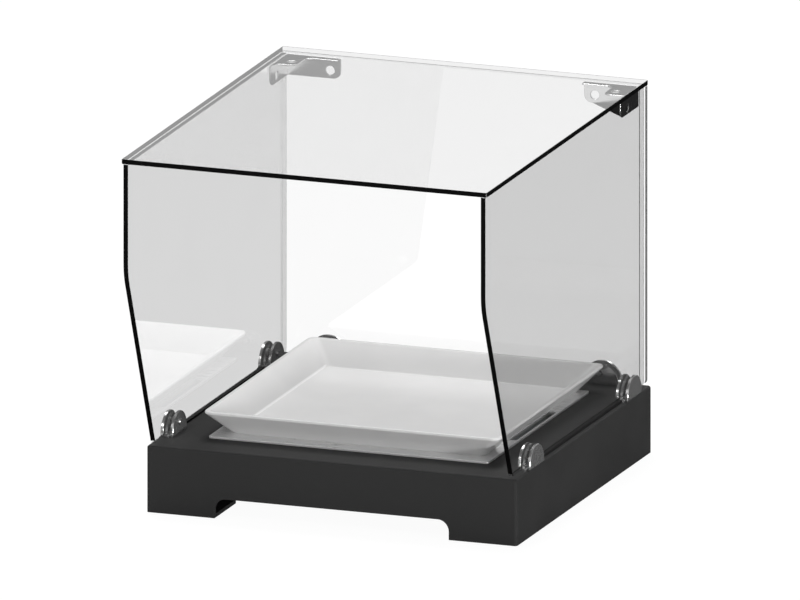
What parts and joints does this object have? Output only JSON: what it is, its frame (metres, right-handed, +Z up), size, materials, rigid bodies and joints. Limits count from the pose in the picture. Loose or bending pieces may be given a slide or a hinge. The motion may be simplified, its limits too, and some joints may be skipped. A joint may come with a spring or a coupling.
{
  "type": "refrigerated buffet display case",
  "caption": "Countertop chilled display case: black base with cold packs under a loose steel plate, a white square tray on it, and an open-fronted glass cover held in half-round clamps.",
  "frame": {"origin": "on the counter under the middle of the whole outline, glass overhang included, so the base's own middle is at y 0.041", "axes": "+X to the right seen from the open front, -Y towards the open front, +Z up"},
  "size_m": [0.4, 0.482, 0.392],
  "materials": {
    "base_black": "satin",
    "foot_rubber": "matte",
    "cover_steel": "satin",
    "screw_steel": "satin",
    "liner_plastic": "satin",
    "foam": "matte",
    "pack_shell": "satin",
    "cap_white": "satin",
    "plate_steel": "brushed",
    "tray_white": "glossy",
    "clear_glass": "polished",
    "clamp_chrome": "polished",
    "washer_clear": "matte",
    "seal_black": "matte",
    "bracket_steel": "satin",
    "bond_clear": "clear"
  },
  "bodies": {
    "case": {"back_left_clamp_body": "clamp_chrome", "back_left_clamp_inner_jaw": "clamp_chrome", "back_left_clamp_screw": "clamp_chrome", "back_left_clamp_washers": "washer_clear", "back_pane": "clear_glass", "back_right_clamp_body": "clamp_chrome", "back_right_clamp_inner_jaw": "clamp_chrome", "back_right_clamp_screw": "clamp_chrome", "back_right_clamp_washers": "washer_clear", "back_sill_seal": "seal_black", "base_housing": "base_black", "bottom_cover": "cover_steel", "bottom_cover_screws": "screw_steel", "clamp_foot_screws": "screw_steel", "foot_front_left": "foot_rubber", "foot_front_right": "foot_rubber", "foot_rear_left": "foot_rubber", "foot_rear_right": "foot_rubber", "front_left_clamp_body": "clamp_chrome", "front_left_clamp_inner_jaw": "clamp_chrome", "front_left_clamp_screw": "clamp_chrome", "front_left_clamp_washers": "washer_clear", "front_right_clamp_body": "clamp_chrome", "front_right_clamp_inner_jaw": "clamp_chrome", "front_right_clamp_screw": "clamp_chrome", "front_right_clamp_washers": "washer_clear", "insulation_foam": "foam", "left_bracket_bonds": "bond_clear", "left_corner_bracket": "bracket_steel", "left_pane": "clear_glass", "left_sill_seal": "seal_black", "rear_left_clamp_body": "clamp_chrome", "rear_left_clamp_inner_jaw": "clamp_chrome", "rear_left_clamp_screw": "clamp_chrome", "rear_left_clamp_washers": "washer_clear", "rear_right_clamp_body": "clamp_chrome", "rear_right_clamp_inner_jaw": "clamp_chrome", "rear_right_clamp_screw": "clamp_chrome", "rear_right_clamp_washers": "washer_clear", "right_bracket_bonds": "bond_clear", "right_corner_bracket": "bracket_steel", "right_pane": "clear_glass", "right_sill_seal": "seal_black", "top_pane": "clear_glass", "well_liner": "liner_plastic"},
    "plate": {"cooling_plate": "plate_steel"},
    "tray": {"tray": "tray_white"},
    "pack_left": {"cold_pack_left": "pack_shell", "cold_pack_cap_left": "cap_white"},
    "pack_right": {"cold_pack_right": "pack_shell", "cold_pack_cap_right": "cap_white"}
  },
  "joints": [
    {"name": "plate_lift", "type": "slide", "parent": "case", "child": "plate", "axis": [0, 0, 1], "range_m": [0, 0.2]},
    {"name": "tray_slide", "type": "slide", "parent": "plate", "child": "tray", "axis": [0, -1, 0], "range_m": [0, 0.46]},
    {"name": "pack_left_lift", "type": "slide", "parent": "case", "child": "pack_left", "axis": [0, 0, 1], "range_m": [0, 0.1]},
    {"name": "pack_right_lift", "type": "slide", "parent": "case", "child": "pack_right", "axis": [0, 0, 1], "range_m": [0, 0.1]}
  ],
  "couplings": [
    {"joint": "pack_left_lift", "follows": "plate_lift", "ratio": 0.5},
    {"joint": "pack_right_lift", "follows": "plate_lift", "ratio": 0.5}
  ]
}
